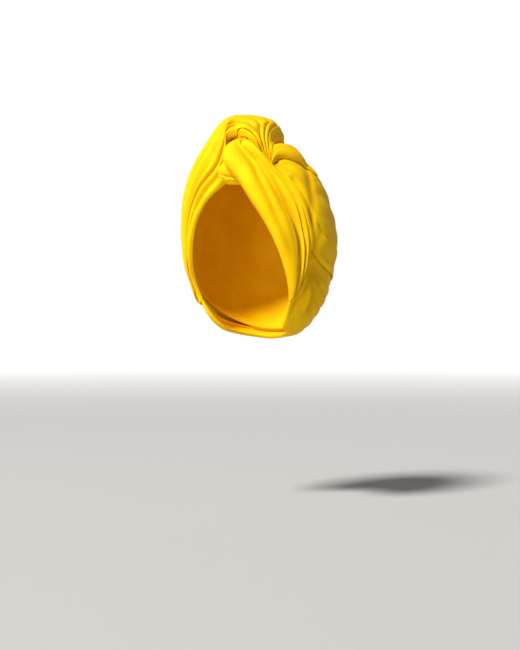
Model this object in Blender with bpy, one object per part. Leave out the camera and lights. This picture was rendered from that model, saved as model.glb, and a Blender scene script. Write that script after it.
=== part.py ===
# Reversible turban: a ready-wrapped head wrap of yellow stretch cloth, in the form it keeps when worn.
# A close cap carries the gathered wraps, the knot and the loop that lie over it.
#
# Frame: +Z up, -Y to the wearer's front, +X to the wearer's left. The origin is the point under the
# crown of the cap, straight above the middle of the head, where the top of the head touches the cloth.
#
# Each wrap is worked out in millimetres round the head's centre, from a short table along its length.

import math

import bmesh
import bpy
import numpy as np
from mathutils import Vector
from mathutils.bvhtree import BVHTree

MM = 0.001

# The head that it fits: an egg that leans back, because the chin is raised.
HEAD_HALF_WIDTH = 74.0
HEAD_HALF_LENGTH = 93.0
HEAD_ABOVE_CENTRE = 107.0
HEAD_BELOW_CENTRE = 112.0
HEAD_LEAN_BACK = math.radians(12.0)

CAP_EASE = 0.5        # from the head to the cap
CAP_WALL = 2.5
LAYER_GAP = 0.6       # from one wrap to the next at their points, so that the facets stay 0.3 apart
THINNEST_WALL = 1.6   # a wrap's wall at its edges
NEAR_BULGE = 2.6      # how squarely a wrap rises to its full height from the edge nearer the face
FAR_BULGE = 1.8       # and from its far edge, where it slopes more
ACROSS_FOLD = (0.0, 0.26, 0.74)   # where a section has its points, from one crease to the next
HALVINGS = 2          # how often a wrap's grid is halved to feel what lies below it
OUTSIDE = 400.0       # further from the head's centre than any cloth

YELLOW = (0.94, 0.62, 0.004, 1.0)
CLOTH_ROUGHNESS = 0.8

# The cap's rim all round, azimuth and elevation from the front round the wearer's left.
CAP_RIM = (
    (0, 47), (14, 45), (25, 32), (35, 15), (44, -4), (52, -20), (60, -35), (80, -49), (110, -60),
    (145, -66), (180, -67), (215, -66), (250, -60), (280, -49), (301, -36), (306, -25), (312, -12),
    (316.5, 0), (321, 13), (325.5, 24.5), (333, 35), (342, 42.5),
)
CAP_POLE = (180.0, 35.0)
CAP_AROUND = 36
CAP_RINGS = 9
SAME_POINT = 0.1 / CAP_RINGS      # on a disc of radius 1, closer than any two of its points

# Each wrap's rows run along its length. Columns, in degrees round the head's centre and in millimetres
# above the head: azimuth and elevation of the edge nearer the face, azimuth and elevation of the far
# edge, height of the near edge, full height, height of the far edge. Azimuth 0 is the front and 90 the
# wearer's left.
#
# Each wrap's creases run along it too. Columns: place across the wrap, from 0 at the near edge to 1 at
# the far edge, at the start, the middle and the end, then the crease's depth at the same three.

NAPE_WRAP = (
    (60, -26, 66, -4, 5, 7, 5),
    (58, -43, 78, 0, 4, 9, 5),
    (58, -55, 95, -8, 2, 11, 5),
    (66, -66, 114, -14, 0, 15, 7),
    (98, -72, 137, -18, 0, 15, 8),
    (140, -75, 160, -20, 1, 14, 7),
    (180, -76, 180, -20, 2, 13, 6),
    (220, -75, 200, -20, 1, 13, 6),
    (262, -72, 223, -18, 0, 13, 6),
    (294, -66, 246, -14, 0, 12, 6),
    (302, -55, 265, -8, 2, 10, 5),
    (302, -43, 282, 0, 4, 8, 5),
    (300, -26, 294, -4, 5, 7, 5),
)
NAPE_CREASES = (
    (0.25, 0.25, 0.25, 1, 4, 1),
    (0.50, 0.50, 0.50, 1, 4, 1),
    (0.75, 0.75, 0.75, 1, 4, 1),
)

BACK_DRAPE = (
    (33, 53, 44, 58, 10, 14, 10),
    (46, 49, 58, 66, 10, 16, 12),
    (57, 38, 84, 72, 10, 14, 15),
    (65, 24, 122, 74, 10, 13, 15),
    (68, 9, 175, 70, 9, 14, 14),
    (74, -7, -145, 63, 9, 16, 12),
    (96, -18, -122, 51, 10, 16, 10),
    (124, -23, -108, 37, 10, 15, 9),
    (155, -25, -102, 23, 10, 15, 8),
    (-175, -24, -99, 9, 10, 14, 7),
    (-148, -21, -97, -5, 9, 13, 7),
    (-120, -18, -96, -17, 7, 8, 6),
)
BACK_DRAPE_CREASES = (
    (0.22, 0.16, 0.25, 2, 2, 1),
    (0.45, 0.36, 0.50, 3, 2, 1),
    (0.72, 0.66, 0.75, 3, 2, 1),
)

KNOT_LOOP = (
    (-14, 54, -23, 61, 14, 20, 16),
    (-10, 60, -17, 67, 26, 33, 27),
    (-3, 63.5, -7, 71, 35, 42, 36),
    (6, 64, 6, 72, 36, 43, 36),
    (14, 61.5, 18, 68, 31, 38, 30),
    (21, 57, 27, 61, 24, 31, 22),
    (27, 52, 32, 54, 14, 19, 13),
    (30, 48, 34, 49, 10, 13, 9),
)
KNOT_LOOP_CREASES = (
    (0.5, 0.42, 0.5, 1, 4, 1),
)

RIGHT_SIDE_ROLL = (
    (-62, -43, -88, -47, 5, 7, 5),
    (-55, -29, -94, -31, 5, 11, 6),
    (-50, -13, -99, -13, 5, 15, 6),
    (-46, 3, -102, 5, 5, 17, 7),
    (-43, 18, -106, 23, 5, 22, 7),
    (-33.5, 35, -112, 39, 8, 32, 8),
    (-17, 48.5, -123, 52, 19, 44, 9),
    (-5, 55.5, -143, 61, 34, 55, 10),
    (-7, 62, -172, 66, 43, 53, 11),
    (-1, 65, 164, 69, 44, 49, 12),
    (9, 66.5, 138, 73, 42, 46, 12),
    (18, 65, 108, 75, 37, 41, 11),
    (26, 60, 74, 70, 29, 34, 10),
    (31, 54, 50, 61, 19, 23, 10),
    (34, 48, 42, 51, 11, 13, 9),
)
RIGHT_SIDE_CREASES = (
    (0.20, 0.16, 0.22, 2, 7, 3),
    (0.36, 0.34, 0.42, 2, 4, 4),
    (0.54, 0.52, 0.60, 1, 3, 4),
    (0.74, 0.72, 0.78, 1, 3, 3),
)

TUCK_FOLD = (
    (36, 53, 38, 58, 10, 15, 12),
    (44, 56, 42, 64, 11, 19, 12),
    (56, 60, 58, 69, 12, 21, 13),
    (74, 62, 84, 73, 12, 21, 13),
    (94, 60, 114, 72, 12, 20, 13),
    (102, 54, 114, 63, 11, 14, 11),
    (103, 49, 110, 54, 10, 11, 10),
)
TUCK_FOLD_CREASES = (
    (0.45, 0.45, 0.45, 1, 2, 1),
)

FACE_BAND = (
    (2, 45, -4, 49, 8, 14, 11),
    (-6, 43, -12, 48, 7, 12, 10),
    (-14, 41, -21, 44.5, 5, 9, 7),
    (-23, 33.5, -29.5, 36.5, 5, 8, 6),
    (-31, 22.5, -37, 25.5, 5, 8, 6),
    (-36, 13, -42, 13, 5, 8, 7),
    (-40.5, 0, -46, 0, 5, 8, 7),
    (-45, -12, -51, -12, 5, 8, 6),
    (-51, -25, -57, -25, 5, 8, 6),
    (-56, -37, -62, -38, 5, 7, 6),
    (-58, -43, -62, -45, 4, 6, 5),
)
FACE_BAND_CREASES = (
    (0.5, 0.5, 0.5, 1, 2, 1),
)

FRONT_KNOT = (
    (-13, 47, -11, 48.5, 9, 12, 11),
    (-9, 44.5, -8, 51.5, 9, 20, 17),
    (-3, 43, -3, 54, 9, 25, 25),
    (5, 42.5, 6, 56, 9, 27, 34),
    (13, 41.5, 15, 54, 8, 22, 27),
    (19, 41, 20, 48, 7, 12, 14),
)
FRONT_KNOT_CREASES = (
    (0.28, 0.28, 0.28, 1, 4, 2),
)

LEFT_FRONT_WRAP = (
    (5, 59, 12, 60, 36, 41, 36),
    (-3, 54, 18, 57, 35, 43, 33),
    (-1, 47.5, 24, 54.5, 27, 38, 26),
    (10.5, 41, 30, 52, 13, 30, 22),
    (20.5, 30, 39, 49, 7, 22, 18),
    (30.3, 16.5, 49.5, 45, 6, 17, 15),
    (38, 2.2, 61.5, 35.5, 6, 15, 14),
    (44.3, -12, 69.5, 22, 6, 14, 13),
    (50.5, -27, 71.5, 7, 6, 14, 12),
    (55.6, -40, 71.4, -4, 5, 13, 11),
    (57.2, -44, 71, -7, 4, 6, 6),
)
LEFT_FRONT_CREASES = (
    (0.30, 0.22, 0.20, 2, 3, 2),
    (0.44, 0.48, 0.46, 4, 5, 3),
    (0.60, 0.63, 0.62, 3, 4, 3),
    (0.78, 0.80, 0.80, 3, 3, 2),
)

# Each wrap's sections along its length, and the thickness of its gathered cloth in millimetres.
WRAPS = (
    ("nape_wrap", NAPE_WRAP, NAPE_CREASES, 31, 3.0),
    ("back_drape", BACK_DRAPE, BACK_DRAPE_CREASES, 32, 3.0),
    ("inner_knot_loop", KNOT_LOOP, KNOT_LOOP_CREASES, 15, 8.0),
    ("right_side_roll", RIGHT_SIDE_ROLL, RIGHT_SIDE_CREASES, 36, 9.0),
    ("tuck_fold", TUCK_FOLD, TUCK_FOLD_CREASES, 13, 6.0),
    ("right_front_band", FACE_BAND, FACE_BAND_CREASES, 22, 5.0),
    ("front_knot", FRONT_KNOT, FRONT_KNOT_CREASES, 13, 12.0),
    ("left_front_wrap", LEFT_FRONT_WRAP, LEFT_FRONT_CREASES, 30, 7.0),
)


def direction(azimuth, elevation):
    a = np.radians(np.asarray(azimuth, float))
    e = np.radians(np.asarray(elevation, float))
    return np.stack([np.sin(a) * np.cos(e), -np.cos(a) * np.cos(e), np.sin(e)], axis=-1)


def head_radius(ways):
    """How far the head's surface is from its centre, along each direction."""
    x, y, z = np.moveaxis(ways, -1, 0)
    lean_cos, lean_sin = math.cos(HEAD_LEAN_BACK), math.sin(HEAD_LEAN_BACK)
    forward = y * lean_cos - z * lean_sin
    upward = y * lean_sin + z * lean_cos
    half_height = np.where(upward > 0, HEAD_ABOVE_CENTRE, HEAD_BELOW_CENTRE)
    return 1 / np.sqrt((x / HEAD_HALF_WIDTH) ** 2 + (forward / HEAD_HALF_LENGTH) ** 2
                       + (upward / half_height) ** 2)


STRAIGHT_UP = np.array([0.0, 0.0, 1.0])
HEAD_CENTRE = -STRAIGHT_UP * (head_radius(STRAIGHT_UP) + CAP_EASE)


def along_curve(rows, at):
    """A smooth curve through a table's evenly spaced rows, read at places from 0 to 1."""
    rows = np.asarray(rows, float)
    points = np.concatenate([[2 * rows[0] - rows[1]], rows, [2 * rows[-1] - rows[-2]]])
    place = np.clip(at, 0, 1) * (len(rows) - 1)
    i = np.minimum(place.astype(int), len(rows) - 2)
    t = (place - i)[:, None]
    a, b, c, d = points[i], points[i + 1], points[i + 2], points[i + 3]
    return b + t / 2 * (c - a + t * (2 * a - 5 * b + 4 * c - d + t * (3 * (b - c) + d - a)))


def edge_curve(azimuths, elevations, at):
    """Directions along one edge of a wrap."""
    ways = along_curve(direction(azimuths, elevations), at)
    return ways / np.linalg.norm(ways, axis=-1, keepdims=True)


def arc_between(first, last, t):
    """Directions part of the way round the great circle from each first one to its last."""
    angle = np.arccos(np.clip(np.sum(first * last, axis=-1, keepdims=True), -1, 1))
    return (np.sin((1 - t) * angle) * first + np.sin(t * angle) * last) / np.sin(angle)


def halved(grid):
    """The same grid of directions with one more between each two, both ways."""
    finer = np.zeros((2 * grid.shape[0] - 1, 2 * grid.shape[1] - 1, 3))
    finer[::2, ::2] = grid
    finer[1::2, ::2] = (grid[1:] + grid[:-1]) / 2
    finer[:, 1::2] = (finer[:, 2::2] + finer[:, :-2:2]) / 2
    return finer / np.linalg.norm(finer, axis=-1, keepdims=True)


def height_below(ways, laid):
    """Distance from the head's centre to the outermost cloth that is laid so far, or to the bare head."""
    radii = head_radius(ways) + CAP_EASE
    for place in np.ndindex(radii.shape):
        way = Vector(ways[place])
        for cloth in laid:
            distance = cloth.ray_cast(way * OUTSIDE, -way, OUTSIDE)[3]
            if distance is not None:
                radii[place] = max(radii[place], OUTSIDE - distance)
    return radii


def clear_of(ways, laid):
    """The same at each point of a grid, or what is highest in the cells round it."""
    finer = ways
    for _ in range(HALVINGS):
        finer = halved(finer)
    cell = 2 ** HALVINGS
    heights = np.pad(height_below(finer, laid), cell, mode="edge")
    rows, columns = finer.shape[:2]
    window = range(2 * cell + 1)
    near = [heights[i:i + rows:cell, j:j + columns:cell] for i in window for j in window]
    return np.max(near, axis=0)


def across_wrap(creases, at):
    """Where each section has its points, from 0 to 1 across the wrap, and how deep the folds dip there."""
    table = np.array([(0,) * 6, *creases, (1, 1, 1, 0, 0, 0)], float)
    places = np.stack([along_curve(row[:3, None], at)[:, 0] for row in table])
    depths = np.stack([along_curve(row[3:, None], at)[:, 0] for row in table])
    across, dips = [], []
    for k in range(len(table) - 1):
        for t in ACROSS_FOLD:
            rounded = 1 - math.sqrt(4 * t * (1 - t))
            across.append(places[k] * (1 - t) + places[k + 1] * t)
            dips.append((depths[k] * (1 - t) + depths[k + 1] * t) * rounded)
    across.append(places[-1])
    dips.append(depths[-1])
    return np.stack(across, axis=1), np.stack(dips, axis=1)


def wrap_surfaces(rows, creases, sections, wall, laid):
    """The outer and the inner surface of one wrap, as grids of points along and across it."""
    at = np.linspace(0, 1, sections)
    rows = np.asarray(rows, float)
    near = edge_curve(rows[:, 0], rows[:, 1], at)
    far = edge_curve(rows[:, 2], rows[:, 3], at)
    across, dips = across_wrap(creases, at)
    ways = arc_between(near[:, None], far[:, None], across[..., None])
    edge, full, far_edge = along_curve(rows[:, 4:], at).T[:, :, None]
    low = np.where(across < 0.5, edge, far_edge)
    bulge = np.where(across < 0.5, NEAR_BULGE, FAR_BULGE)
    rise = (1 - np.abs(2 * across - 1) ** bulge) ** (1 / bulge)
    outer = head_radius(ways) + low + (full - low) * rise - dips
    inner = np.maximum(clear_of(ways, laid) + LAYER_GAP, outer - wall)
    outer = np.maximum(outer, inner + THINNEST_WALL)
    return ways * outer[..., None], ways * inner[..., None]


def cloth_material(name):
    material = bpy.data.materials.new(name)
    material.use_nodes = True
    shader = material.node_tree.nodes["Principled BSDF"]
    shader.inputs["Base Color"].default_value = YELLOW
    shader.inputs["Roughness"].default_value = CLOTH_ROUGHNESS
    return material


def sheet_mesh(outer, inner):
    """A grid bent to the outer surface, then extruded to the inner one, which closes it at its edges."""
    mesh = bmesh.new()
    number = mesh.verts.layers.int.new("number")
    bmesh.ops.create_grid(mesh, x_segments=outer.shape[1] - 1, y_segments=outer.shape[0] - 1)
    for i, vert in enumerate(mesh.verts):
        vert[number] = i
        vert.co = outer.reshape(-1, 3)[i]
    extruded = bmesh.ops.extrude_face_region(mesh, geom=mesh.faces[:])["geom"]
    for vert in extruded:
        if isinstance(vert, bmesh.types.BMVert):
            vert.co = inner.reshape(-1, 3)[vert[number]]
    return mesh


def dome_mesh():
    """The cap: a disc spun from one spoke, laid on the head, then extruded by its wall."""
    mesh = bmesh.new()
    spoke = [mesh.verts.new((i / CAP_RINGS, 0, 0)) for i in range(CAP_RINGS + 1)]
    for inner_end, outer_end in zip(spoke[:-1], spoke[1:]):
        mesh.edges.new((inner_end, outer_end))
    bmesh.ops.spin(mesh, geom=mesh.verts[:] + mesh.edges[:], cent=(0, 0, 0), axis=(0, 0, 1),
                   angle=2 * math.pi, steps=CAP_AROUND, use_merge=True)
    bmesh.ops.remove_doubles(mesh, verts=mesh.verts[:], dist=SAME_POINT)
    rim = np.array(CAP_RIM + CAP_RIM[:1], float)
    pole = direction(*CAP_POLE)
    for vert in mesh.verts:
        turn = (math.atan2(vert.co.y, vert.co.x) / (2 * math.pi)) % 1.0
        edge = edge_curve(rim[:, 0], rim[:, 1], np.array([turn]))
        way = arc_between(pole[None], edge, np.array([[vert.co.length]]))[0]
        vert.co = way * (head_radius(way) + CAP_EASE + CAP_WALL)
    extruded = bmesh.ops.extrude_face_region(mesh, geom=mesh.faces[:])["geom"]
    for vert in extruded:
        if isinstance(vert, bmesh.types.BMVert):
            vert.co -= vert.co.normalized() * CAP_WALL
    return mesh


def finish(name, mesh, laid):
    """Turns a mesh into a named object in metres, and remembers it for the wraps that lie over it."""
    bmesh.ops.triangulate(mesh, faces=mesh.faces[:])
    bmesh.ops.recalc_face_normals(mesh, faces=mesh.faces[:])
    if mesh.calc_volume(signed=True) < 0:
        bmesh.ops.reverse_faces(mesh, faces=mesh.faces[:])
    laid.append(BVHTree.FromBMesh(mesh))
    for vert in mesh.verts:
        vert.co = (vert.co + Vector(HEAD_CENTRE)) * MM
    data = bpy.data.meshes.new(name)
    mesh.to_mesh(data)
    mesh.free()
    data.shade_smooth()
    data.materials.append(cloth_material(name + "_cloth"))
    bpy.context.scene.collection.objects.link(bpy.data.objects.new(name, data))


def main():
    for obj in list(bpy.data.objects):
        bpy.data.objects.remove(obj)
    laid = []
    finish("crown_cap", dome_mesh(), laid)
    for name, rows, creases, sections, wall in WRAPS:
        finish(name, sheet_mesh(*wrap_surfaces(rows, creases, sections, wall, laid)), laid)


main()
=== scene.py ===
# Reversible turban in yellow jersey, in the form it keeps when worn: a close cap and eight gathered wraps.
# Sizes in the dictionaries are millimetres, and degrees round the hollow's centre; meshes are in metres.
# Azimuth 0 is the wearer's front and 90 the wearer's left; elevation 90 is straight up.

import math

import bpy
import numpy as np
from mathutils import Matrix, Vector
from mathutils.bvhtree import BVHTree


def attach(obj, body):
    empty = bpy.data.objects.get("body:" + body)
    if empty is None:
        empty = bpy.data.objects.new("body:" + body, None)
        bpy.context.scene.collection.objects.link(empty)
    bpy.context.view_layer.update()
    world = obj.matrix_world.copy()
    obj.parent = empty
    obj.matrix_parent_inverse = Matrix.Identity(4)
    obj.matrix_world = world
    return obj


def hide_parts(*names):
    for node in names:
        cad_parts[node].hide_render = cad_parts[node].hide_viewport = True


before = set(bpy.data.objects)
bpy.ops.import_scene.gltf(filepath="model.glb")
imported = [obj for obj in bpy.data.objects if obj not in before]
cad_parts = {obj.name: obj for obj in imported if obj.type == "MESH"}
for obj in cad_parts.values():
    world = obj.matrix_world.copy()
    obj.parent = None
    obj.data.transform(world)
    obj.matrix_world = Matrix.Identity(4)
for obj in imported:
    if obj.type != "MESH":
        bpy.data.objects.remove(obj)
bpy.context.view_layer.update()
print("frame loaded")

mm = 0.001

# The hollow that the cloth is shaped round, an egg that leans back, and how the layers lie on each other.
fit = {
    "halfWidth": 74.0,
    "halfLength": 93.0,
    "aboveCentre": 107.0,
    "belowCentre": 112.0,
    "leanBack": math.radians(12.0),
    "ease": 0.5,
    "layerGap": 0.35,     # air between one wrap and the next
    "thinnest": 1.3,      # two layers of the cloth
    "liftSoftness": 1.2,  # how softly a wrap rides over what bulges below it
    "underSoftness": 0.3,
    "clearReach": 3,      # grid steps over which it clears what is below, and then evens that out
    "evenReach": 2,
    "edgeRadius": 0.4,    # the least that an edge is rounded
    "outside": 400.0,     # further out than any cloth
    "waves": 9,           # in each cloth's unevenness, and how their sizes differ
    "waveSizes": (0.6, 1.3),
    "placeBends": 5,      # in the wandering of a pleat's place, and of its depth
    "depthBends": 4,
    "linePoints": 6,      # along a fold's line, for each point given
    "steepest": 30.0,     # keeps a lap's edge within what numbers can hold
    "tiny": 1e-9,
    "seed": 11,
}


def direction(azimuth, elevation):
    a = np.radians(np.asarray(azimuth, float))
    e = np.radians(np.asarray(elevation, float))
    return np.stack([np.sin(a) * np.cos(e), -np.cos(a) * np.cos(e), np.sin(e)], axis=-1)


def hollowRadius(ways):  # from the hollow's centre to its surface
    x, y, z = np.moveaxis(ways, -1, 0)
    c, s = math.cos(fit["leanBack"]), math.sin(fit["leanBack"])
    forward, upward = y * c - z * s, y * s + z * c
    halfHeight = np.where(upward > 0, fit["aboveCentre"], fit["belowCentre"])
    return 1 / np.sqrt((x / fit["halfWidth"]) ** 2 + (forward / fit["halfLength"]) ** 2
                       + (upward / halfHeight) ** 2)


straightUp = np.array([0.0, 0.0, 1.0])
hollowCentre = -straightUp * (hollowRadius(straightUp) + fit["ease"])


def alongCurve(rows, at):  # a smooth curve through evenly spaced rows, read at places from 0 to 1
    rows = np.asarray(rows, float)
    points = np.concatenate([[2 * rows[0] - rows[1]], rows, [2 * rows[-1] - rows[-2]]])
    place = np.clip(at, 0, 1) * (len(rows) - 1)
    i = np.minimum(place.astype(int), len(rows) - 2)
    t = (place - i)[:, None]
    a, b, c, d = points[i], points[i + 1], points[i + 2], points[i + 3]
    return b + t / 2 * (c - a + t * (2 * a - 5 * b + 4 * c - d + t * (3 * (b - c) + d - a)))


def edgeCurve(azimuths, elevations, at):
    ways = alongCurve(direction(azimuths, elevations), at)
    return ways / np.linalg.norm(ways, axis=-1, keepdims=True)


def arcBetween(first, last, t):
    angle = np.arccos(np.clip(np.sum(first * last, axis=-1, keepdims=True), -1, 1))
    return (np.sin((1 - t) * angle) * first + np.sin(t * angle) * last) / np.sin(angle)


def softMax(a, b, softness):
    return (a + b + np.sqrt((a - b) ** 2 + softness ** 2)) / 2


def easeIn(t):
    t = np.clip(t, 0, 1)
    return t * t * (3 - 2 * t)


def drawFor(name):
    return np.random.default_rng(fit["seed"] + sum(map(ord, name)))


def ripple(ways, size, name):  # smooth unevenness from about -1 to 1, with bumps of this size
    draw, waves = drawFor(name), fit["waves"]
    points = ways * fit["halfLength"]
    total = np.zeros(ways.shape[:-1])
    for _ in range(waves):
        turn = draw.normal(size=3)
        turn *= draw.uniform(*fit["waveSizes"]) * 2 * math.pi / size / np.linalg.norm(turn)
        total += np.sin(points @ turn + draw.uniform(0, 2 * math.pi))
    return total / math.sqrt(2 * waves)


def wander(at, bends, name):  # the same along one line
    draw = drawFor(name)
    total = np.zeros_like(at)
    for k in range(1, bends + 1):
        total += draw.normal() * np.sin(math.pi * k * at + draw.uniform(0, 2 * math.pi))
    return total / bends


def feelBelow(ways, laid):  # distance from the centre to the outermost cloth so far, or the hollow
    radii = hollowRadius(ways) + fit["ease"]
    flat, far = radii.reshape(-1), fit["outside"]
    for i, way in enumerate(ways.reshape(-1, 3)):
        way = Vector(way)
        for cloth in laid:
            distance = cloth.ray_cast(way * far, -way, far)[3]
            if distance is not None and far - distance > flat[i]:
                flat[i] = far - distance
    return flat.reshape(radii.shape)


def spread(grid, reach, pick):  # each value becomes the highest, or the mean, of those round it
    for axis in (0, 1):
        edges = [(reach, reach) if k == axis else (0, 0) for k in (0, 1)]
        padded = np.pad(grid, edges, mode="edge")
        size = grid.shape[axis]
        grid = pick([np.take(padded, range(i, i + size), axis) for i in range(2 * reach + 1)], axis=0)
    return grid


def acrossPleats(piece, at, name):  # where each section has its points, how deep they dip and stand
    pleats = [((0, 0), (0, 0)), *piece["pleats"], ((1, 1), (0, 0))]
    places = np.stack([alongCurve(np.array(row[0], float)[:, None], at)[:, 0] for row in pleats])
    depths = np.stack([alongCurve(np.array(row[1], float)[:, None], at)[:, 0] for row in pleats])
    rooms = np.diff(places, axis=0)
    for k in range(1, len(pleats) - 1):
        room = np.minimum(rooms[k - 1], rooms[k])
        places[k] += piece["stray"] * room * wander(at, fit["placeBends"], name + "place%d" % k)
        depths[k] *= 1 + piece["uneven"] * wander(at, fit["depthBends"], name + "depth%d" % k)
    depths = np.maximum(depths, 0)
    across, dips, stands = [], [], []
    steps = piece["perPleat"]
    for k in range(len(pleats) - 1):
        last = k == len(pleats) - 2
        for i in range(steps + last):
            t = (1 - math.cos(math.pi * i / steps)) / 2
            top = (1 - abs(2 * t - 1) ** piece["plump"]) ** (1 / piece["plump"])
            deep = depths[k] * (1 - t) + depths[k + 1] * t
            across.append(places[k] * (1 - t) + places[k + 1] * t)
            dips.append(deep * (1 - top))
            stands.append(deep * top)
    return [np.stack(grid, axis=1) for grid in (across, dips, stands)]


def foldHeight(points, ways, fold):  # what one single fold adds: see the notes above napeWrap
    line = direction(*np.array(fold["line"], float).T)
    line = line * hollowRadius(line)[:, None]
    line = alongCurve(line, np.linspace(0, 1, fit["linePoints"] * len(fold["line"])))
    nearest = np.full(ways.shape[:-1], np.inf)
    side, along = np.zeros_like(nearest), np.zeros_like(nearest)
    for i in range(len(line) - 1):
        step = line[i + 1] - line[i]
        t = np.clip((points - line[i]) @ step / (step @ step), 0, 1)
        gap = points - (line[i] + t[..., None] * step)
        distance = np.linalg.norm(gap, axis=-1)
        closer = distance < nearest
        nearest = np.where(closer, distance, nearest)
        side = np.where(closer, np.sign(np.sum(np.cross(step, gap) * ways, axis=-1)), side)
        along = np.where(closer, (i + t) / (len(line) - 1), along)
    signed = nearest * side
    high = fold["height"] * easeIn(along / fold["fade"][0]) * easeIn((1 - along) / fold["fade"][1])
    if fold["form"] == "lap":     # the cloth on the line's left lies over that on its right
        steep = np.clip(signed / fold["sharp"], -fit["steepest"], fit["steepest"])
        cliff = 1 / (1 + np.exp(-steep))
        return high * cliff * np.exp(-np.maximum(signed, 0) / fold["width"])
    if fold["form"] == "crease":
        return -high * np.exp(-nearest / fold["width"])
    return high * np.exp(-(signed / fold["width"]) ** 2)   # a ridge, or a valley if it is below zero


def roundEdges(outer, inner, fromSide, fromEnd, piece):  # the cloth is folded over at its edges
    half, middle = (outer - inner) / 2, (outer + inner) / 2
    for distance, most in ((fromSide, piece["roundSide"]), (fromEnd, piece["roundEnd"])):
        radius = np.clip(half, fit["edgeRadius"], most)
        half = half * np.sqrt(1 - (1 - np.clip(distance / radius, 0, 1)) ** 2)
    return middle + half, middle - half


def smoothWrap(piece, rows, near, far, at, across):  # the wrap without its pleats
    ways = arcBetween(near[:, None], far[:, None], across[..., None])
    edge, full, farEdge = alongCurve(rows[:, 4:], at).T[:, :, None]
    low = np.where(across < 0.5, edge, farEdge)
    bulge = np.where(across < 0.5, piece["bulge"][0], piece["bulge"][1])
    rise = (1 - np.abs(2 * across - 1) ** bulge) ** (1 / bulge)
    return ways * (hollowRadius(ways) + low + (full - low) * rise)[..., None]


def unit(vectors):
    return vectors / np.maximum(np.linalg.norm(vectors, axis=-1, keepdims=True), fit["tiny"])


def pleated(name, piece, at, rows, near, far):  # points over the wrap, folded out of its smooth surface
    even = np.broadcast_to(np.linspace(0, 1, piece["feel"]), (len(at), piece["feel"]))
    smooth = smoothWrap(piece, rows, near, far, at, even)
    girth = np.cumsum(np.linalg.norm(np.diff(smooth, axis=1), axis=-1), axis=1)
    girth = np.concatenate([np.zeros((len(at), 1)), girth], axis=1)
    across, dips, stands = acrossPleats(piece, at, name)
    width = girth[:, -1]
    place = np.stack([np.interp(across[i] * width[i], girth[i], even[i]) for i in range(len(at))])
    points = smoothWrap(piece, rows, near, far, at, place)
    sideways = unit(np.gradient(points, axis=1))
    normal = unit(np.cross(np.gradient(points, axis=0), sideways))
    normal = normal * np.sign(np.sum(normal * points, axis=-1).mean())
    for places, heights, reach in piece["swells"]:
        middle = alongCurve(np.array(places, float)[:, None], at)
        height = alongCurve(np.array(heights, float)[:, None], at)
        dips = dips - height * np.exp(-((across - middle) * width[:, None] / reach) ** 2)
    edges = np.sqrt(np.clip(4 * across * (1 - across), 0, 1))
    dips = dips - piece["rippleHeight"] * ripple(unit(points), piece["rippleSize"], name) * edges
    return points - dips[..., None] * normal + piece["lean"] * stands[..., None] * sideways, across, width


def layWrap(name, piece, laid):
    at = np.linspace(0, 1, piece["along"])
    rows = np.array(piece["rows"], float)
    near = edgeCurve(rows[:, 0], rows[:, 1], at)
    far = edgeCurve(rows[:, 2], rows[:, 3], at)
    points, across, width = pleated(name, piece, at, rows, near, far)
    ways, outer = unit(points), np.linalg.norm(points, axis=-1)
    onHollow = ways * hollowRadius(ways)[..., None]
    for fold in piece["folds"]:
        outer = outer + foldHeight(onHollow, ways, fold)
    below = spread(feelBelow(ways, laid), fit["clearReach"], np.max)
    below = spread(below, fit["evenReach"], np.mean)
    inner = softMax(below + fit["layerGap"], outer - piece["wall"], fit["underSoftness"])
    outer = softMax(outer, inner + fit["thinnest"], fit["liftSoftness"])
    spine = points[:, points.shape[1] // 2]
    travelled = np.concatenate([[0], np.cumsum(np.linalg.norm(np.diff(spine, axis=0), axis=1))])
    fromEnd = np.minimum(travelled, travelled[-1] - travelled)[:, None]
    fromSide = np.minimum(across, 1 - across) * width[:, None]
    outer, inner = roundEdges(outer, inner, fromSide, fromEnd, piece)
    flat = np.stack([np.broadcast_to(travelled[:, None], across.shape), across * width[:, None]], -1)
    return ways * outer[..., None], ways * inner[..., None], flat


def gridFaces(number, flat, turned):  # the faces of a grid of points, and their corners' places on the map
    corners = [number[:-1, :-1], number[1:, :-1], number[1:, 1:], number[:-1, 1:]]
    places = [flat[:-1, :-1], flat[1:, :-1], flat[1:, 1:], flat[:-1, 1:]]
    order = (3, 2, 1, 0) if turned else (0, 1, 2, 3)
    quads = np.stack([corners[k].ravel() for k in order], axis=1)
    maps = np.stack([places[k].reshape(-1, 2) for k in order], axis=1)
    return quads.tolist(), maps.reshape(-1, 2)


def clothObject(name, points, faces, maps):
    mesh = bpy.data.meshes.new(name)
    mesh.from_pydata(((points + hollowCentre) * mm).tolist(), [], faces)
    layer = mesh.uv_layers.new(name="clothMap")
    layer.data.foreach_set("uv", np.ascontiguousarray(maps, np.float32).ravel())
    mesh.shade_smooth()
    cloth = bpy.data.objects.new(name, mesh)
    bpy.context.scene.collection.objects.link(cloth)
    mesh.calc_loop_triangles()
    triangles = np.zeros(len(mesh.loop_triangles) * 3, np.int32)
    mesh.loop_triangles.foreach_get("vertices", triangles)
    triangles = triangles.reshape(-1, 3)
    a, b, c = (points[triangles[:, k]] for k in range(3))
    area = np.linalg.norm(np.cross(b - a, c - a), axis=1).sum() / 4 * mm * mm   # halved for the two sides
    volume = np.einsum("ij,ij->i", a, np.cross(b, c)).sum() / 6000
    print(name, len(triangles), "triangles,", round(area, 4), "m2 a side,", round(volume), "cm3")
    return cloth, BVHTree.FromPolygons(points.tolist(), triangles.tolist())


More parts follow.
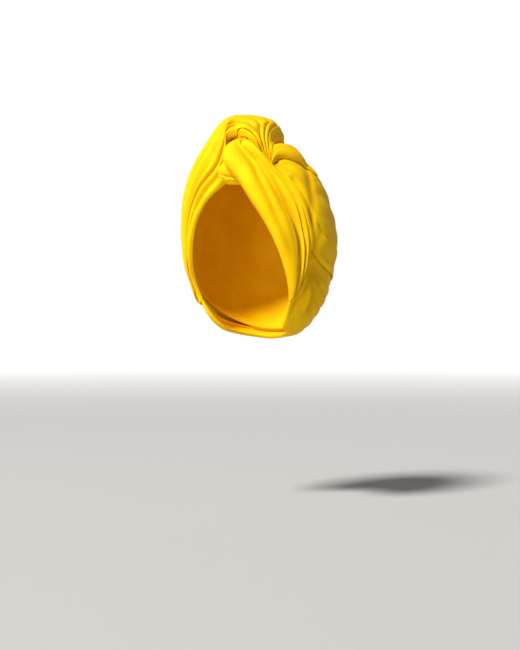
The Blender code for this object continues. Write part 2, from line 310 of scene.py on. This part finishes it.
def closedSheet(name, outer, inner, flat):  # two grids of points, joined at their four edges
    rows, columns = outer.shape[:2]
    outside = np.arange(rows * columns).reshape(rows, columns)
    inside = outside.copy()
    inside[1:-1, 1:-1] = rows * columns + np.arange((rows - 2) * (columns - 2)).reshape(rows - 2, -1)
    points = np.concatenate([outer.reshape(-1, 3), inner[1:-1, 1:-1].reshape(-1, 3)])
    i, j = rows // 2, columns // 2
    facing = np.cross(outer[i + 1, j] - outer[i, j], outer[i, j + 1] - outer[i, j])
    turned = np.dot(facing, outer[i, j]) < 0
    outerFaces, outerMaps = gridFaces(outside, flat, turned)
    innerFaces, innerMaps = gridFaces(inside, flat, not turned)
    return clothObject(name, points, outerFaces + innerFaces, np.concatenate([outerMaps, innerMaps]))


laid = []   # the cloths so far, which the next one feels for


def dress(cloth, node, material):
    cloth.data.materials.append(material)
    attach(cloth, "root")
    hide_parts(node)


# Materials

def linearColour(code):  # sRGB hex to the linear values that Blender takes
    parts = [int(code[i:i + 2], 16) / 255 for i in (1, 3, 5)]
    return [p / 12.92 if p <= 0.04045 else ((p + 0.055) / 1.055) ** 2.4 for p in parts] + [1.0]


def addNode(tree, kind, settings=None, values=None, links=None):
    node = tree.nodes.new(kind)
    for key, value in (settings or {}).items():
        setattr(node, key, value)
    for key, value in (values or {}).items():
        node.inputs[key].default_value = value
    for key, source in (links or {}).items():
        tree.links.new(source, node.inputs[key])
    return node


jersey = {
    "outerLight": "#EFC000",
    "outerDeep": "#EBB200",
    "innerLight": "#EDB900",
    "innerDeep": "#E6A900",
    "roughness": 0.72,
    "sheen": 0.15,
    "sheenRoughness": 0.4,
    "sheenTint": "#FFC933",
    "specular": 0.1,
    "waleSpacing": 0.9,     # mm, a rib of stitches; real ones are 0.6 and would not show
    "courseSpacing": 0.75,
    "stitchHeight": 0.06,
    "brushedSize": 2.2,     # mm, patches where the pile lies another way
    "brushedHeight": 0.12,
    "brushedDetail": 3.0,
    "cloudSize": 26.0,      # mm, slow change of shade in the dye
    "cloudDetail": 2.0,
    "brushedShare": 0.35,   # of the pile in the change of shade, and the range that shows
    "shadeFrom": 0.45,
    "shadeTo": 0.9,
    "slant": 1.1,           # how far a stitch leans
    "stitchStrength": 0.5,
    "pileStrength": 0.6,
}


def brushedJersey(name, light, deep):
    # Polyester jersey with elastane, knitted and lightly brushed: a soft matt face with a short pile,
    # which brightens towards the edges of folds, and fine ribs of stitches that show only from close by.
    material = bpy.data.materials.new(name)
    material.use_nodes = True
    tree = material.node_tree
    shader = tree.nodes["Principled BSDF"]
    for socket, value in (("Roughness", jersey["roughness"]), ("Sheen Weight", jersey["sheen"]),
                          ("Sheen Roughness", jersey["sheenRoughness"]),
                          ("Sheen Tint", linearColour(jersey["sheenTint"])),
                          ("Specular IOR Level", jersey["specular"])):
        shader.inputs[socket].default_value = value
    place = addNode(tree, "ShaderNodeTexCoord")
    clothMap = addNode(tree, "ShaderNodeUVMap", {"uv_map": "clothMap"})
    metre = 1 / mm
    cloud = addNode(tree, "ShaderNodeTexNoise", None,
                    {"Scale": metre / jersey["cloudSize"], "Detail": jersey["cloudDetail"]},
                    {"Vector": place.outputs["Object"]})
    brushed = addNode(tree, "ShaderNodeTexNoise", None,
                      {"Scale": metre / jersey["brushedSize"], "Detail": jersey["brushedDetail"]},
                      {"Vector": place.outputs["Object"]})
    both = addNode(tree, "ShaderNodeMath", {"operation": "MULTIPLY_ADD"}, {1: jersey["brushedShare"]},
                   {0: brushed.outputs["Fac"], 2: cloud.outputs["Fac"]})
    shade = addNode(tree, "ShaderNodeMapRange", None,
                    {"From Min": jersey["shadeFrom"], "From Max": jersey["shadeTo"]},
                    {"Value": both.outputs["Value"]})
    colour = addNode(tree, "ShaderNodeMix", {"data_type": "RGBA"},
                     {6: linearColour(deep), 7: linearColour(light)},
                     {"Factor": shade.outputs["Result"]})
    tree.links.new(colour.outputs[2], shader.inputs["Base Color"])
    # ribs run along the cloth: the map's second number counts them in millimetres, the first the courses
    parted = addNode(tree, "ShaderNodeSeparateXYZ", None, None, {"Vector": clothMap.outputs["UV"]})
    wale = addNode(tree, "ShaderNodeMath", {"operation": "PINGPONG"}, {1: jersey["waleSpacing"] / 2},
                   {0: parted.outputs["Y"]})
    slant = addNode(tree, "ShaderNodeMath", {"operation": "MULTIPLY_ADD"}, {1: jersey["slant"]},
                    {0: wale.outputs["Value"], 2: parted.outputs["X"]})
    course = addNode(tree, "ShaderNodeMath", {"operation": "PINGPONG"}, {1: jersey["courseSpacing"] / 2},
                     {0: slant.outputs["Value"]})
    stitches = addNode(tree, "ShaderNodeMath", {"operation": "ADD"}, None,
                       {0: wale.outputs["Value"], 1: course.outputs["Value"]})
    knit = addNode(tree, "ShaderNodeBump", None,
                   {"Strength": jersey["stitchStrength"], "Distance": jersey["stitchHeight"] * mm},
                   {"Height": stitches.outputs["Value"]})
    pile = addNode(tree, "ShaderNodeBump", None,
                   {"Strength": jersey["pileStrength"], "Distance": jersey["brushedHeight"] * mm},
                   {"Height": brushed.outputs["Fac"], "Normal": knit.outputs["Normal"]})
    tree.links.new(pile.outputs["Normal"], shader.inputs["Normal"])
    return material


outerJersey = brushedJersey("brushedJerseyFace", jersey["outerLight"], jersey["outerDeep"])
innerJersey = brushedJersey("brushedJerseyReverse", jersey["innerLight"], jersey["innerDeep"])
print("materials made")

# The close cap: its rim all round from the front, azimuth and elevation.
cap = {
    "rim": (
        (0, 47), (14, 45), (25, 32), (35, 15), (44, -4), (52, -20), (60, -35), (80, -49), (110, -60),
        (145, -66), (180, -67), (215, -66), (250, -60), (280, -49), (301, -36), (306, -25), (312, -12),
        (316.5, 0), (321, 13), (325.5, 24.5), (333, 35), (342, 42.5),
    ),
    "pole": (180.0, 35.0),
    "around": 360,
    "rings": 90,
    "wall": 1.5,
    "hemWall": 2.5,
    "hemWidth": 9.0,
    "hemSoftness": 1.2,
    "wrinkle": 1.6,
    "wrinkleSize": 38.0,
    "seamWidth": 2.6,
    "seamHeight": 1.3,
    "threadWidth": 0.7,
    "threadDepth": 0.7,    # a share of the seam's height
    "seamFrom": 3.0,       # from the rim, and how soon it is at its full height
    "seamFade": 4.0,
    "roundSide": 1.2,
    "roundEnd": 1.2,
    "mapWidth": 560.0,
    "flat": (0.36, 0.27),
    "area": 0.085,
    "held": "stretched",
}


def layCap():
    rim = np.array(cap["rim"] + cap["rim"][:1], float)
    spokes, rings = cap["around"], cap["rings"]
    turns = np.linspace(0, 1, spokes + 1)
    edge = edgeCurve(rim[:, 0], rim[:, 1], turns)
    edge[-1] = edge[0]
    pole = direction(*cap["pole"])
    out = np.sin(np.linspace(0, math.pi / 2, rings + 1))[1:]   # closer rings towards the rim
    ways = arcBetween(pole[None, None], edge[:, None], out[None, :, None])
    reach = np.arccos(np.clip(edge @ pole, -1, 1))[:, None] * fit["halfLength"]
    fromRim = (1 - out)[None] * reach
    hem = easeIn(1 - (fromRim - cap["hemWidth"]) / cap["hemSoftness"])
    sideways = ways[..., 0] * fit["halfLength"]
    wrinkle = np.clip((1 + ripple(ways, cap["wrinkleSize"], "cap")) / 2, 0, 1) * (1 - hem)
    seam = np.exp(-(sideways / cap["seamWidth"]) ** 2)
    seam = seam - cap["threadDepth"] * np.exp(-(sideways / cap["threadWidth"]) ** 2)
    inner = hollowRadius(ways) + fit["ease"] + cap["wrinkle"] * wrinkle
    inner = inner - cap["seamHeight"] * seam * easeIn((fromRim - cap["seamFrom"]) / cap["seamFade"])
    outer = hollowRadius(ways) + fit["ease"] + cap["wall"] + (cap["hemWall"] - cap["wall"]) * hem
    outer = outer + cap["wrinkle"] * wrinkle
    fromSide = np.full_like(fromRim, cap["hemWidth"])
    outer, inner = roundEdges(outer, inner, fromSide, fromRim, cap)
    top = (hollowRadius(pole) + fit["ease"]) * pole
    points = np.concatenate([(ways[:-1] * outer[:-1, :, None]).reshape(-1, 3),
                             (ways[:-1] * inner[:-1, :, None]).reshape(-1, 3),
                             [top + pole * cap["wall"], top]])
    outside = np.arange(spokes * rings).reshape(spokes, rings)
    inside = outside + spokes * rings
    inside[:, -1] = outside[:, -1]
    outside, inside = (np.concatenate([grid, grid[:1]]) for grid in (outside, inside))
    flat = np.stack([np.broadcast_to(turns[:, None] * cap["mapWidth"], fromRim.shape), fromRim], -1)
    outerFaces, outerMaps = gridFaces(outside, flat, True)
    innerFaces, innerMaps = gridFaces(inside, flat, False)
    topFaces, topMaps = [], []
    outerTop, innerTop = len(points) - 2, len(points) - 1
    for k in range(spokes):
        for number, grid, corners in ((outerTop, outside, (k, k + 1)), (innerTop, inside, (k + 1, k))):
            topFaces.append([number] + [int(grid[c, 0]) for c in corners])
            topMaps += [flat[k, 0] + (0, 1)] + [flat[c, 0] for c in corners]
    faces = outerFaces + innerFaces + topFaces
    used = np.zeros(len(points), bool)
    used[[v for face in faces for v in face]] = True
    number = (np.cumsum(used) - 1).tolist()
    faces = [[number[v] for v in face] for face in faces]
    return clothObject("capCloth", points[used], faces, np.concatenate([outerMaps, innerMaps, topMaps]))


capCloth, tree = layCap()
laid.append(tree)
dress(capCloth, "crown_cap", innerJersey)

# The wraps, in the order that they are laid. Columns of their rows: azimuth and elevation of the edge
# nearer the front, azimuth and elevation of the far edge, then three heights over the hollow: the near
# edge's, the middle's and the far edge's. Each pleat line has its places across the wrap, from 0 at the
# near edge to 1 at the far one, at even stations along it, and its depths at even stations.
#
# A single fold has a line of azimuths and elevations. A ridge or valley is soft, a crease is sharp, and a
# lap stands over what is on its right and sinks back over its width on its left. Its height fades in and
# out over the two shares of its length that fade gives.

napeWrap = {
    "rows": (
        (60, -26, 66, -4, 5, 7, 5),
        (58, -43, 78, 0, 4, 9, 5),
        (58, -55, 95, -8, 2, 11, 5),
        (66, -66, 114, -14, 0, 15, 7),
        (98, -72, 137, -18, 0, 15, 8),
        (140, -75, 160, -20, 1, 14, 7),
        (180, -76, 180, -20, 2, 13, 6),
        (220, -75, 200, -20, 1, 13, 6),
        (262, -72, 223, -18, 0, 13, 6),
        (294, -66, 246, -14, 0, 12, 6),
        (302, -55, 265, -8, 2, 10, 5),
        (302, -43, 282, 0, 4, 8, 5),
        (300, -26, 294, -4, 5, 7, 5),
    ),
    "pleats": (
        ((0.14, 0.14, 0.12, 0.12, 0.12, 0.14), (0.3, 0.5, 2, 3, 3, 2)),
        ((0.27, 0.27, 0.25, 0.25, 0.25, 0.27), (0.3, 0.5, 3, 5, 5, 3)),
        ((0.39, 0.39, 0.38, 0.38, 0.38, 0.39), (0.3, 0.5, 2, 4, 4, 2)),
        ((0.51, 0.51, 0.53, 0.53, 0.53, 0.51), (0.3, 0.7, 3, 5.5, 5, 3)),
        ((0.64, 0.64, 0.67, 0.67, 0.67, 0.63), (0.5, 1.0, 2, 4, 4, 2)),
        ((0.80, 0.80, 0.81, 0.81, 0.81, 0.77), (0.5, 1.2, 2, 4.5, 4, 3)),
    ),
    "swells": (),
    "folds": (
        {"form": "crease", "line": ((69, -10), (64, -20), (60, -32), (55, -44), (56, -56)),
         "height": 10, "width": 3.5, "fade": (0.1, 0.3)},
        {"form": "crease", "line": ((71, -13), (73, -27), (69, -38), (65, -47), (63, -59)),
         "height": 10, "width": 3.5, "fade": (0.1, 0.3)},
        {"form": "crease", "line": ((73, -12), (80, -31), (85, -43), (85, -55)), "height": 10, "width": 3.5,
         "fade": (0.1, 0.3)},
        {"form": "valley", "line": ((77, -14), (87, -24), (93, -32)), "height": -7, "width": 5,
         "fade": (0.2, 0.6)},
        {"form": "ridge", "line": ((68, -15), (68, -25), (65, -36), (60, -50)), "height": 5, "width": 5,
         "fade": (0.3, 0.4)},
        {"form": "ridge", "line": ((73, -14), (77, -30), (77, -42), (74, -56)), "height": 5.5, "width": 5.5,
         "fade": (0.3, 0.4)},
    ),
    "along": 300,
    "feel": 200,
    "perPleat": 18,
    "plump": 1.7,
    "lean": 0.7,
    "stray": 0.5,
    "uneven": 0.5,
    "bulge": (2.6, 1.8),
    "rippleHeight": 0.7,
    "rippleSize": 34.0,
    "wall": 3.0,
    "roundSide": 1.6,
    "roundEnd": 3.0,
    "flat": (0.11, 0.36),
    "held": "gathered",
}

backDrape = {
    "rows": (
        (33, 53, 44, 58, 10, 14, 10),
        (46, 49, 58, 66, 10, 17, 17),
        (57, 38, 84, 72, 10, 18, 20),
        (65, 24, 122, 74, 10, 17, 19),
        (68, 9, 175, 70, 9, 14, 15),
        (74, -7, -145, 63, 9, 16, 12),
        (96, -18, -122, 51, 10, 16, 10),
        (124, -23, -108, 37, 10, 15, 9),
        (155, -25, -102, 23, 10, 15, 8),
        (-175, -24, -99, 9, 10, 14, 7),
        (-148, -21, -97, -5, 9, 13, 7),
        (-120, -18, -96, -17, 7, 8, 6),
    ),
    "pleats": (
        ((0.16, 0.12, 0.12, 0.13, 0.13), (1, 0.2, 0.4, 1.0, 1.0)),
        ((0.30, 0.28, 0.27, 0.28, 0.28), (1.5, 0.3, 0.6, 1.5, 1.5)),
        ((0.45, 0.43, 0.42, 0.43, 0.43), (2, 0.4, 0.6, 1.2, 1.5)),
        ((0.62, 0.60, 0.58, 0.58, 0.60), (2, 0.5, 1.0, 1.6, 1.5)),
        ((0.80, 0.78, 0.76, 0.77, 0.80), (2, 0.5, 0.8, 1.2, 1.0)),
    ),
    "swells": (
        ((0.22, 0.20, 0.20), (0.3, 0.8, 0.8), 9.0),
        ((0.38, 0.36, 0.34), (-0.5, -2.5, -2.0), 10.0),
        ((0.70, 0.68, 0.66), (-0.5, -2.5, -2.5), 12.0),
    ),
    "folds": (
        {"form": "ridge", "line": ((82, 12), (92, 7.5), (106, 1.5), (124, -5.5)), "height": 2, "width": 2.6,
         "fade": (0.6, 0.4)},
        {"form": "ridge", "line": ((74, -4), (86, -11.5), (104, -17), (126, -20.5)),
         "height": 2, "width": 2.8, "fade": (0.5, 0.4)},
        {"form": "crease", "line": ((50, 62), (54, 59), (61, 57), (72, 55)), "height": 3.5, "width": 2.6,
         "fade": (0.1, 0.5)},
        {"form": "crease", "line": ((56, 49), (61, 44), (67, 35), (71.5, 24), (73, 10)),
         "height": 6, "width": 3.5, "fade": (0.3, 0.3)},
        {"form": "crease", "line": ((77, 22), (84, 10), (99, -3)), "height": 2.0, "width": 2.5,
         "fade": (0.4, 0.3)},
        {"form": "lap", "line": ((126, -9), (95, 2), (81, 11)), "height": 4, "width": 12, "sharp": 0.4,
         "fade": (0.3, 0.4)},
    ),
    "along": 320,
    "feel": 200,
    "perPleat": 22,
    "plump": 1.7,
    "lean": 0.4,
    "stray": 0.6,
    "uneven": 0.7,
    "bulge": (2.6, 1.8),
    "rippleHeight": 0.9,
    "rippleSize": 60.0,
    "wall": 3.0,
    "roundSide": 1.8,
    "roundEnd": 1.8,
    "flat": (0.20, 0.26),
    "held": "draped",
}

knotLoop = {
    "rows": (
        (-15, 59, -26, 64, 12, 17, 14),
        (-12, 65, -22, 71, 28, 36, 32),
        (-4, 66.5, -8, 73, 37, 45, 40),
        (6, 66.5, 4, 74, 40, 47, 42),
        (15, 66, 16, 73, 36, 43, 36),
        (23, 64, 28, 70, 27, 34, 26),
        (28, 62.5, 34, 67, 17, 21, 16),
        (31, 61.5, 36, 64, 10, 13, 9),
    ),
    "pleats": (
        ((0.30, 0.28, 0.34), (2, 4, 2)),
        ((0.62, 0.58, 0.62), (2, 5, 3)),
    ),
    "swells": (),
    "folds": (),
    "along": 160,
    "feel": 200,
    "perPleat": 22,
    "plump": 2.1,
    "lean": 0.5,
    "stray": 0.3,
    "uneven": 0.3,
    "bulge": (2.2, 2.2),
    "rippleHeight": 0.3,
    "rippleSize": 20.0,
    "wall": 8.0,
    "roundSide": 4.0,
    "roundEnd": 3.0,
    "flat": (0.03, 0.095),
    "held": "gathered",
}

sideRoll = {
    "rows": (
        (-62, -43, -88, -47, 5, 7, 5),
        (-55, -29, -94, -31, 5, 11, 6),
        (-50, -13, -99, -13, 5, 15, 6),
        (-46, 3, -102, 5, 5, 17, 7),
        (-42, 18, -106, 23, 5, 22, 7),
        (-32, 36, -112, 39, 6, 32, 8),
        (-15, 49, -123, 52, 8, 44, 9),
        (-6, 56, -143, 61, 26, 55, 10),
        (-7, 62, -172, 66, 42, 53, 11),
        (-1, 66, 164, 69, 44, 49, 12),
        (9, 67.5, 138, 75, 42, 46, 12),
        (18, 67, 108, 79, 34, 41, 11),
        (28, 64, 72, 78, 20, 33, 10),
        (35, 61.5, 52, 69, 11, 20, 10),
        (39, 59.5, 45, 62, 8, 11, 9),
    ),
    "pleats": (
        ((0.05, 0.05, 0.05, 0.06, 0.07, 0.09, 0.11, 0.08, 0.06, 0.05, 0.05),
         (2, 2, 2, 2, 3, 5, 5, 5, 4, 1, 0.5)),
        ((0.10, 0.10, 0.11, 0.13, 0.18, 0.20, 0.19, 0.16, 0.13, 0.11, 0.12),
         (3, 4, 6, 10, 13, 11, 10, 9, 7, 3, 0.5)),
        ((0.22, 0.22, 0.22, 0.24, 0.28, 0.32, 0.33, 0.31, 0.26, 0.20, 0.22),
         (4, 5, 5, 6, 5, 1, 1, 3, 4, 2, 0.5)),
        ((0.36, 0.36, 0.36, 0.37, 0.40, 0.44, 0.47, 0.47, 0.41, 0.33, 0.34),
         (3, 4, 4, 5, 4, 0.5, 0.5, 1.5, 3, 2, 0.5)),
        ((0.50, 0.50, 0.50, 0.50, 0.52, 0.56, 0.59, 0.60, 0.56, 0.50, 0.50),
         (4, 5, 5, 6, 5, 3, 1, 1, 1, 1, 0.5)),
        ((0.64, 0.64, 0.64, 0.65, 0.67, 0.70, 0.72, 0.73, 0.72, 0.68, 0.66),
         (3, 4, 4, 5, 5, 4, 2, 1.5, 1, 0.5, 0.5)),
        ((0.80, 0.80, 0.80, 0.80, 0.81, 0.83, 0.85, 0.85, 0.85, 0.84, 0.82),
         (3, 4, 5, 6, 6, 5, 3, 2, 1, 0.5, 0.5)),
    ),
    "swells": (
        ((0.10, 0.10, 0.12, 0.15, 0.20, 0.215, 0.20, 0.17, 0.14, 0.12, 0.12),
         (0, 0, -1.5, -4, -6, -4.5, -4, -3.5, -2, 0, 0), 4.5),
    ),
    "folds": (),
    "along": 320,
    "feel": 200,
    "perPleat": 18,
    "plump": 1.75,
    "lean": -0.6,
    "stray": 0.25,
    "uneven": 0.5,
    "bulge": (2.6, 1.8),
    "rippleHeight": 0.7,
    "rippleSize": 40.0,
    "wall": 9.0,
    "roundSide": 2.6,
    "roundEnd": 4.0,
    "flat": (0.14, 0.36),
    "held": "gathered",
}

tuckFold = {
    "rows": (
        (41, 59, 38, 62, 10, 14, 11),
        (44.3, 60.4, 40, 66, 14, 20, 15),
        (49, 62, 45, 70, 17, 24, 17),
        (58, 63, 57, 74, 19, 26, 18),
        (74, 62, 80, 76, 18, 27, 17),
        (89, 60, 103, 75, 16, 26, 14),
        (98, 57, 113, 69, 12, 21, 11),
        (104, 53, 115, 62, 9, 14, 8),
        (109, 50, 114, 55, 6, 8, 6),
    ),
    "pleats": (
        ((0.45, 0.45, 0.45), (1, 2, 1)),
    ),
    "swells": (),
    "folds": (),
    "along": 150,
    "feel": 200,
    "perPleat": 26,
    "plump": 2.0,
    "lean": 0.6,
    "stray": 0.2,
    "uneven": 0.3,
    "bulge": (2.2, 2.0),
    "rippleHeight": 0.4,
    "rippleSize": 24.0,
    "wall": 6.0,
    "roundSide": 3.0,
    "roundEnd": 2.0,
    "flat": (0.026, 0.09),
    "held": "folded",
}

faceBand = {
    "rows": (
        (0, 48, -3, 50, 5, 9, 8),
        (-8, 45, -12, 48, 6, 12, 10),
        (-14, 41, -21, 44.5, 5, 9, 7),
        (-23, 33.5, -29.5, 36.5, 5, 8, 6),
        (-31, 22.5, -37, 25.5, 5, 8, 6),
        (-36, 13, -42, 13, 5, 8, 7),
        (-40.5, 0, -46, 0, 5, 8, 7),
        (-45, -12, -51, -12, 5, 8, 6),
        (-51, -25, -57, -25, 5, 8, 6),
        (-56, -37, -62, -38, 5, 7, 6),
        (-58, -43, -62, -45, 4, 6, 5),
    ),
    "pleats": (
        ((0.55, 0.5, 0.6), (1.2, 1.2, 0.8)),
    ),
    "swells": (),
    "folds": (),
    "along": 260,
    "feel": 200,
    "perPleat": 24,
    "plump": 2.0,
    "lean": 0.4,
    "stray": 0.4,
    "uneven": 0.6,
    "bulge": (2.2, 2.2),
    "rippleHeight": 0.3,
    "rippleSize": 30.0,
    "wall": 5.0,
    "roundSide": 3.0,
    "roundEnd": 2.0,
    "flat": (0.013, 0.19),
    "held": "folded",
}

frontKnot = {
    "rows": (
        (-15, 47.5, -12, 50, 7, 12, 11),
        (-11, 45.7, -10, 54, 6, 21, 16),
        (-3, 44.8, -4, 59, 6, 25, 18),
        (5, 44.3, 6, 63, 6, 20, 20),
        (13, 43.5, 16, 64, 6, 18, 20),
        (21, 43.5, 26, 63, 6, 16, 19),
        (29, 45, 34, 61, 6, 13, 14),
        (35, 47, 38, 57, 5, 8, 8),
    ),
    "pleats": (
        ((0.12, 0.09, 0.08), (2, 4, 3)),
        ((0.62, 0.60, 0.60), (0.5, 1.5, 1.5)),
    ),
    "swells": (),
    "folds": (),
    "along": 150,
    "feel": 200,
    "perPleat": 24,
    "plump": 2.1,
    "lean": 0.5,
    "stray": 0.2,
    "uneven": 0.2,
    "bulge": (2.0, 2.0),
    "rippleHeight": 0.4,
    "rippleSize": 22.0,
    "wall": 12.0,
    "roundSide": 5.0,
    "roundEnd": 4.0,
    "flat": (0.05, 0.06),
    "held": "folded",
}

frontWrap = {
    "rows": (
        (4, 68, 8, 68.5, 30, 34, 30),
        (-3, 55, 23, 61, 33, 41, 30),
        (-1, 47.5, 31, 56.5, 27, 38, 26),
        (10.5, 41, 37, 54, 13, 31, 22),
        (20.5, 30, 45, 51, 7, 24, 17),
        (30.3, 16.5, 55.5, 45, 6, 19, 15),
        (38, 2.2, 64, 36, 6, 16, 14),
        (44.3, -12, 69.5, 23, 6, 14, 13),
        (50.5, -27, 71.5, 7, 6, 14, 12),
        (55.6, -40, 71.4, -4, 5, 13, 11),
        (57.2, -44, 71, -7, 4, 6, 6),
    ),
    "pleats": (
        ((0.50, 0.50, 0.57, 0.62, 0.62, 0.55, 0.51, 0.46, 0.32, 0.15, 0.12),
         (1, 5, 9, 11, 11, 11, 10, 8, 6, 4, 1)),
        ((0.74, 0.74, 0.77, 0.80, 0.82, 0.83, 0.77, 0.66, 0.60, 0.38, 0.30),
         (1, 2, 3, 4, 5, 6, 7, 7, 6, 4, 1)),
        ((0.88, 0.88, 0.90, 0.91, 0.93, 0.94, 0.91, 0.87, 0.78, 0.60, 0.50),
         (0.5, 1, 1.5, 2, 3, 4, 5, 5, 5, 4, 1)),
    ),
    "swells": (
        ((0.15, 0.13, 0.13, 0.12, 0.12, 0.10), (0.5, 2.0, 2.0, 1.5, 1.0, 0.5), 6.5),
        ((0.40, 0.38, 0.42, 0.44, 0.38, 0.28, 0.22, 0.2, 0.2, 0.2, 0.2),
         (0, -1.5, -3, -4, -4, -3, -1.5, -0.5, 0, 0, 0), 5.0),
        ((0.46, 0.46, 0.52, 0.57, 0.57, 0.50, 0.46, 0.41, 0.28, 0.12, 0.10),
         (0, 1, 2, 2.5, 2.5, 2.5, 2.5, 2, 1, 0, 0), 3.5),
        ((0.56, 0.57, 0.64, 0.69, 0.70, 0.64, 0.59, 0.53, 0.40, 0.25, 0.2),
         (0, -2, -3.5, -4.5, -5, -5, -4.5, -3.5, -2, 0, 0), 4.5),
    ),
    "folds": (),
    "along": 320,
    "feel": 200,
    "perPleat": 34,
    "plump": 1.6,
    "lean": 0.8,
    "stray": 0.12,
    "uneven": 0.3,
    "bulge": (2.6, 1.8),
    "rippleHeight": 0.5,
    "rippleSize": 36.0,
    "wall": 7.0,
    "roundSide": 3.5,
    "roundEnd": 3.0,
    "flat": (0.07, 0.22),
    "held": "gathered",
}

wraps = (
    ("napeCloth", "nape_wrap", napeWrap, ["crown_cap"]),
    ("backCloth", "back_drape", backDrape, ["crown_cap", "nape_wrap"]),
    ("bandCloth", "right_front_band", faceBand, ["crown_cap"]),
    ("knotCloth", "front_knot", frontKnot, ["crown_cap"]),
    ("frontCloth", "left_front_wrap", frontWrap, ["crown_cap", "back_drape"]),
    ("loopCloth", "inner_knot_loop", knotLoop, ["crown_cap"]),
    ("rollCloth", "right_side_roll", sideRoll, ["crown_cap", "back_drape"]),
    ("tuckCloth", "tuck_fold", tuckFold, ["back_drape"]),
)
for name, node, piece, restsOn in wraps:
    cloth, tree = closedSheet(name, *layWrap(name, piece, laid))
    laid.append(tree)
    dress(cloth, node, outerJersey)

# Floor, light and camera

studio = {
    "floorBelow": 0.42,
    "floorSize": 60.0,
    "paintedShadeColour": "#B8B6B2",   # painted shade: the floor is painted darker round the object, and pale far behind it
    "farColour": "#F4F3F1",
    "nearTo": 1.6,             # metres
    "farFrom": 7.0,
    "floorRoughness": 0.85,
    "wallColour": "#FFFFFF",
    "backWall": 1.0,           # strength of the pale wall behind, and of the dimmer rest of the room
    "otherWalls": 0.2,
    "backFrom": 0.2,           # how far round the back wall reaches, as the cosine from its middle
    "backTo": 0.8,
    "wallTop": 0.22,           # the sine of the height where the walls end
    "ceilingFrom": 0.42,
    "ceilingStrength": 0.15,
    "roomTurn": 27.5,          # azimuth that the back wall faces
    # name, kind, azimuth, elevation, distance in metres, width (degrees for a sun, metres for an area), power
    "lights": (
        ("key", "SUN", -8, 44, 2.0, 12.0, 5.0),
        ("left", "AREA", -75, 35, 1.6, 0.5, 2.0),
        ("low", "AREA", -5, -8, 1.6, 0.4, 7.0),
    ),
}


def layFloor():
    bpy.ops.object.select_all(action="DESELECT")
    bpy.ops.mesh.primitive_plane_add(size=studio["floorSize"], location=(0, 0, -studio["floorBelow"]))
    floor = bpy.context.object
    floor.name = "studioFloor"
    material = bpy.data.materials.new("paintedBoard")   # matt white paint
    material.use_nodes = True
    tree = material.node_tree
    shader = tree.nodes["Principled BSDF"]
    shader.inputs["Roughness"].default_value = studio["floorRoughness"]
    place = addNode(tree, "ShaderNodeTexCoord")
    # painted shade: the floor's colour goes from its pale far colour to a grey round the object, as if less
    # light fell there
    distance = addNode(tree, "ShaderNodeVectorMath", {"operation": "LENGTH"}, None,
                       {0: place.outputs["Object"]})
    away = addNode(tree, "ShaderNodeMapRange", {"interpolation_type": "SMOOTHSTEP"},
                   {"From Min": studio["nearTo"], "From Max": studio["farFrom"]},
                   {"Value": distance.outputs["Value"]})
    colour = addNode(tree, "ShaderNodeMix", {"data_type": "RGBA"},
                     {6: linearColour(studio["paintedShadeColour"]), 7: linearColour(studio["farColour"])},
                     {"Factor": away.outputs["Result"]})
    tree.links.new(colour.outputs[2], shader.inputs["Base Color"])
    floor.data.materials.append(material)


def aimFrom(light, azimuth, elevation, distance):
    centre = Vector(hollowCentre * mm)
    light.location = centre + Vector(direction(azimuth, elevation)) * distance
    light.rotation_euler = (centre - light.location).to_track_quat("-Z", "Y").to_euler()
    bpy.context.scene.collection.objects.link(light)


def lightStudio():
    world = bpy.data.worlds.new("studio")
    bpy.context.scene.world = world
    world.use_nodes = True
    tree = world.node_tree
    sky = tree.nodes["Background"]
    place = addNode(tree, "ShaderNodeTexCoord")
    height = addNode(tree, "ShaderNodeSeparateXYZ", None, None, {"Vector": place.outputs["Generated"]})
    behind = -direction(studio["roomTurn"], 0)
    toBack = addNode(tree, "ShaderNodeVectorMath", {"operation": "DOT_PRODUCT"}, {1: behind},
                     {0: place.outputs["Generated"]})
    wall = addNode(tree, "ShaderNodeMapRange", {"interpolation_type": "SMOOTHSTEP"},
                   {"From Min": studio["backFrom"], "From Max": studio["backTo"],
                    "To Min": studio["otherWalls"], "To Max": studio["backWall"]},
                   {"Value": toBack.outputs["Value"]})
    level = addNode(tree, "ShaderNodeMapRange", {"interpolation_type": "SMOOTHSTEP"},
                    {"From Min": studio["wallTop"], "From Max": studio["ceilingFrom"],
                     "To Max": studio["ceilingStrength"]},
                    {"Value": height.outputs["Z"], "To Min": wall.outputs["Result"]})
    tree.links.new(level.outputs["Result"], sky.inputs["Strength"])
    sky.inputs["Color"].default_value = linearColour(studio["wallColour"])
    for name, kind, azimuth, elevation, distance, width, power in studio["lights"]:
        data = bpy.data.lights.new(name, kind)
        data.energy = power
        if kind == "SUN":
            data.angle = math.radians(width)
        else:
            data.size = width
        aimFrom(bpy.data.objects.new(name, data), azimuth, elevation, distance)


camera = {"azimuth": 27.5, "distance": 1.8, "below": 0.0936, "lens": 83.1, "sensor": 36.0}


def placeCamera():
    data = bpy.data.cameras.new("camera")
    data.lens = camera["lens"]
    data.sensor_width = camera["sensor"]
    eye = bpy.data.objects.new("camera", data)
    bpy.context.scene.collection.objects.link(eye)
    turn = math.radians(camera["azimuth"])
    eye.location = (camera["distance"] * math.sin(turn), -camera["distance"] * math.cos(turn),
                    hollowCentre[2] * mm - camera["below"])
    eye.rotation_euler = (math.pi / 2, 0, turn)
    bpy.context.scene.camera = eye


layFloor()
lightStudio()
placeCamera()
bpy.context.scene.view_settings.view_transform = "Standard"
print("studio set")
